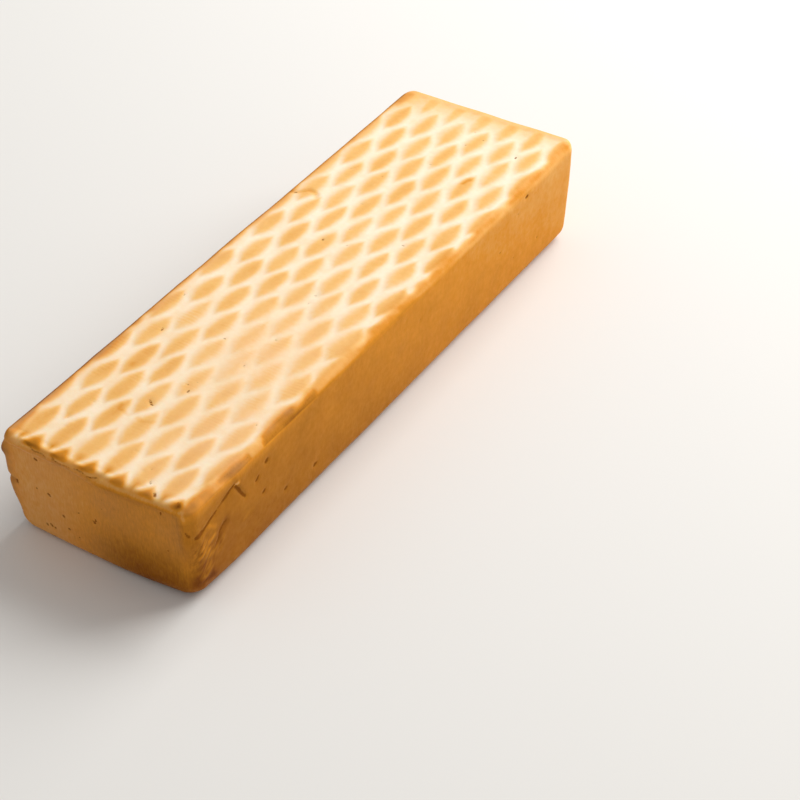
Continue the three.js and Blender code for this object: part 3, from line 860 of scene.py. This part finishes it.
# %% Colours and a node helper
def linear(hex_colour):
    """An sRGB hex colour as linear red, green, blue and alpha."""
    parts = [int(hex_colour[n:n + 2], 16) / 255 for n in (1, 3, 5)]
    return (*(p / 12.92 if p < 0.04045 else ((p + 0.055) / 1.055) ** 2.4 for p in parts), 1)


# Smoked rind gives the eye a soft, broad shine, and a warm glow where light passes through it
rind = bpy.data.materials.new("smoked_rind")
rind.use_nodes = True
tree = rind.node_tree
tree.nodes.clear()


def add_node(kind, settings=None, output=0, **inputs):
    """Adds a node to the rind and gives back one of its outputs. Settings are its properties. An
    input is named with underscores for spaces, or by its number after an underscore; it is linked
    if it is another node's output, and otherwise set."""
    node = tree.nodes.new("ShaderNode" + kind)
    for name, value in (settings or {}).items():
        setattr(node, name, value)
    for name, value in inputs.items():
        socket = node.inputs[int(name[1:]) if name[0] == "_" else name.replace("_", " ")]
        if isinstance(value, bpy.types.NodeSocket):
            tree.links.new(value, socket)
        else:
            socket.default_value = value
    return node.outputs[output] if node.outputs else node


place = add_node("TexCoord", output="Object")
stored = {
    name: add_node("Attribute", {"attribute_name": name}, "Fac") for name in values_at_points
}
print("rind reads", ", ".join(stored))

# %% Noises of the skin
# Size of the patches in mm, detail, how far they are drawn out along X, Y and Z, and their turn
# about X. The skin's own grain is about 0.1 mm, too fine to show, so grain, fine and rough are
# drawn coarser, at 0.7 and 0.8 mm.
EVEN = (1, 1, 1)
NOISES = {
    "clouds": (16, 3, EVEN, 0),
    "mottle": (2.4, 3, EVEN, 0),
    "grain": (0.7, 2, (1, 1, 4), 0),
    "streaks": (1.2, 2, (1, 4, 1), WRINKLE_WAY),
    "patches": (9, 1, EVEN, 0),
    "rough": (0.8, 2, EVEN, 0),
    "fine": (0.7, 3, EVEN, 0),
}
noise = {}
for name, (size, detail, stretch, turn) in NOISES.items():
    scale = [size * MM * s for s in stretch]
    turned = add_node(
        "Mapping", {"vector_type": "TEXTURE"}, Vector=place, Scale=scale, Rotation=(turn, 0, 0)
    )
    noise[name] = add_node("TexNoise", output="Fac", Vector=turned, Scale=1.0, Detail=detail)
print("noises:", ", ".join(noise))

# %% Smoke with its unevenness
# A noise swings round a half; what it is above or below that, times an amount, is added to smoke
CLOUDS_IN_SMOKE, MOTTLE_IN_SMOKE = 0.14, 0.09
GRAIN_EVERYWHERE, GRAIN_ON_LIP_END, STREAKS_IN_TEAR = 0.025, 0.16, 0.35
TIMES, LESS, TIMES_PLUS = ({"operation": name} for name in ("MULTIPLY", "SUBTRACT", "MULTIPLY_ADD"))

grained = add_node("Math", TIMES_PLUS, _0=stored["fibre"], _1=GRAIN_ON_LIP_END, _2=GRAIN_EVERYWHERE)
streaked = add_node("Math", TIMES, _0=stored["torn"], _1=STREAKS_IN_TEAR)
amounts = {"clouds": CLOUDS_IN_SMOKE, "mottle": MOTTLE_IN_SMOKE, "grain": grained, "streaks": streaked}
smoked = stored["smoke"]
for name, amount in amounts.items():
    swing = add_node("Math", LESS, _0=noise[name], _1=0.5)
    smoked = add_node("Math", TIMES_PLUS, _0=swing, _1=amount, _2=smoked)
print("smoke is broken up by", ", ".join(amounts))

# %% Ripples on the almonds
# The real ripples are finer than this; they are drawn coarser, 1.8 mm apart, so that they show. The
# wave node counts 20 radians for each unit of its scale.
RIPPLE_WIDE, RIPPLE_DARKER = 1.8, 0.035
WAVE_RADIANS = 20
PATCH_EDGE = (0.5, 0.62)

ripple = add_node(
    "TexWave", {"bands_direction": "Y"}, "Fac", Vector=place,
    Scale=2 * math.pi / (WAVE_RADIANS * RIPPLE_WIDE * MM), Distortion=6.0, Detail=2.0, Detail_Scale=0.4,
)
patches = add_node("MapRange", Value=noise["patches"], From_Min=PATCH_EDGE[0], From_Max=PATCH_EDGE[1])
rippled = add_node("Math", TIMES, _0=ripple, _1=stored["hatch"])
rippled = add_node("Math", TIMES, _0=rippled, _1=patches)
smoked = add_node("Math", TIMES_PLUS, _0=rippled, _1=RIPPLE_DARKER, _2=smoked)
print("ripples are", RIPPLE_WIDE, "mm apart")

# %% Colour of the rind
RIND_COLOURS = {
    0.00: "#F6E5CA",
    0.30: "#ECB870",
    0.55: "#D68A26",
    0.75: "#A96A18",
    0.90: "#80450C",
    1.00: "#4B2409",
}
BLOOM_AND_SHEEN_COLOUR, MARK_COLOUR = "#F4CCAC", "#7E4509"
MARK_RAGGED, MARK_EDGE, MARK_COVER = 0.35, (0.42, 0.74), 0.88
# A mix of colours takes its share at input 0 and the two colours at 6 and 7; output 2 is theirs
COLOURS, COLOUR_OUT = {"data_type": "RGBA"}, 2

smoke_colour = add_node("ValToRGB", Fac=smoked)
stops = smoke_colour.node.color_ramp.elements
for amount in list(RIND_COLOURS)[1:-1]:
    stops.new(amount)
for stop, (amount, colour) in zip(stops, RIND_COLOURS.items()):
    stop.position = amount
    stop.color = linear(colour)
# The pale colour is laid where there is bloom or painted sheen
pale_share = add_node("Math", TIMES, _0=stored["bloom_and_sheen"], _1=noise["clouds"])
with_bloom_and_sheen = add_node("Mix", COLOURS, COLOUR_OUT, _0=pale_share, _6=smoke_colour, _7=linear(BLOOM_AND_SHEEN_COLOUR))
# Marks take a brown where there is a stain, and along the crease, painted shade
swing = add_node("Math", LESS, _0=noise["rough"], _1=0.5)
ragged = add_node("Math", TIMES_PLUS, _0=swing, _1=MARK_RAGGED, _2=stored["stain_and_shade"])
dark = add_node(
    "MapRange", {"interpolation_type": "SMOOTHSTEP"},
    Value=ragged, From_Min=MARK_EDGE[0], From_Max=MARK_EDGE[1], To_Max=MARK_COVER,
)
marked = add_node("Mix", COLOURS, COLOUR_OUT, _0=dark, _6=with_bloom_and_sheen, _7=linear(MARK_COLOUR))
print("rind has", len(RIND_COLOURS), "colours from cream to brown")

# %% Relief, shine and shader
FINE_SHARE, MARK_DEEP = 0.5, -0.6
BUMP_STRENGTH, BUMP_HIGH = 0.18, 0.25 * MM
MOTTLE_EDGE, SHINE, MARK_DULLER = (0.3, 0.7), (0.46, 0.6), 0.4
# Milk fat has an IOR of about 1.46; the smoked skin is dry, so its shine is weak
FAT_IOR, DRY_SHINE = 1.46, 0.07
GLOW, GLOW_COLOUR, GLOW_DEPTH = 0.2, (1.0, 0.55, 0.25), 4 * MM

grit = add_node("Math", TIMES_PLUS, _0=noise["fine"], _1=FINE_SHARE, _2=noise["grain"])
relief = add_node("Math", TIMES_PLUS, _0=dark, _1=MARK_DEEP, _2=grit)
bump = add_node("Bump", Height=relief, Strength=BUMP_STRENGTH, Distance=BUMP_HIGH)
shine = add_node(
    "MapRange", Value=noise["mottle"],
    From_Min=MOTTLE_EDGE[0], From_Max=MOTTLE_EDGE[1], To_Min=SHINE[0], To_Max=SHINE[1],
)
shine = add_node("Math", TIMES_PLUS, _0=dark, _1=MARK_DULLER, _2=shine)
shader = add_node(
    "BsdfPrincipled", Base_Color=marked, Roughness=shine, Normal=bump, IOR=FAT_IOR,
    Specular_IOR_Level=DRY_SHINE, Subsurface_Weight=GLOW, Subsurface_Radius=GLOW_COLOUR,
    Subsurface_Scale=GLOW_DEPTH,
)
add_node("OutputMaterial", Surface=shader)
mesh.materials.append(rind)
print("rind:", len(tree.nodes), "nodes")

# %% [markdown]
# ## Floor and light
# A bright studio: one large soft light high behind the loaf and to its right, and an even white
# sky that fills the shade. The end that faces the camera lies in that shade, which is why it looks
# tan beside the bright top. Several lamps could stand round the loaf, but one light and a sky give
# one clear shadow and soft shade.

# %% Floor
FLOOR_HALF = 3.0
PAPER_COLOUR, PAPER_ROUGH = "#E2DFDA", 0.9

floor_mesh = bpy.data.meshes.new("floor")
corners = [(i * FLOOR_HALF, j * FLOOR_HALF, 0) for i, j in ((-1, -1), (1, -1), (1, 1), (-1, 1))]
floor_mesh.from_pydata(corners, [], [(0, 1, 2, 3)])
floor = bpy.data.objects.new("floor", floor_mesh)
bpy.context.collection.objects.link(floor)
# Matt paper gives the eye an even pale ground with no shine
paper = bpy.data.materials.new("matt_paper")
paper.use_nodes = True
sheet = paper.node_tree.nodes["Principled BSDF"]
sheet.inputs["Base Color"].default_value = linear(PAPER_COLOUR)
sheet.inputs["Roughness"].default_value = PAPER_ROUGH
floor_mesh.materials.append(paper)
print("floor is", 2 * FLOOR_HALF, "m wide")

# %% Light
KEY_AT = Vector((0.42, 1.18, 0.98))
KEY_SIZE, KEY_POWER = 1.4, 34
SKY_COLOUR, SKY_STRENGTH = "#FFFFFF", 0.485

key = bpy.data.objects.new("soft_light", bpy.data.lights.new("soft_light", "AREA"))
key.data.size = KEY_SIZE
key.data.energy = KEY_POWER
key.location = KEY_AT
key.rotation_euler = KEY_AT.to_track_quat("Z", "Y").to_euler()
bpy.context.collection.objects.link(key)
world = bpy.data.worlds.new("white_studio")
world.use_nodes = True
sky = world.node_tree.nodes["Background"]
sky.inputs["Color"].default_value = linear(SKY_COLOUR)
sky.inputs["Strength"].default_value = SKY_STRENGTH
bpy.context.scene.world = world
bpy.context.scene.view_settings.view_transform = "Standard"
print("light stands", round(KEY_AT.length, 2), "m away")
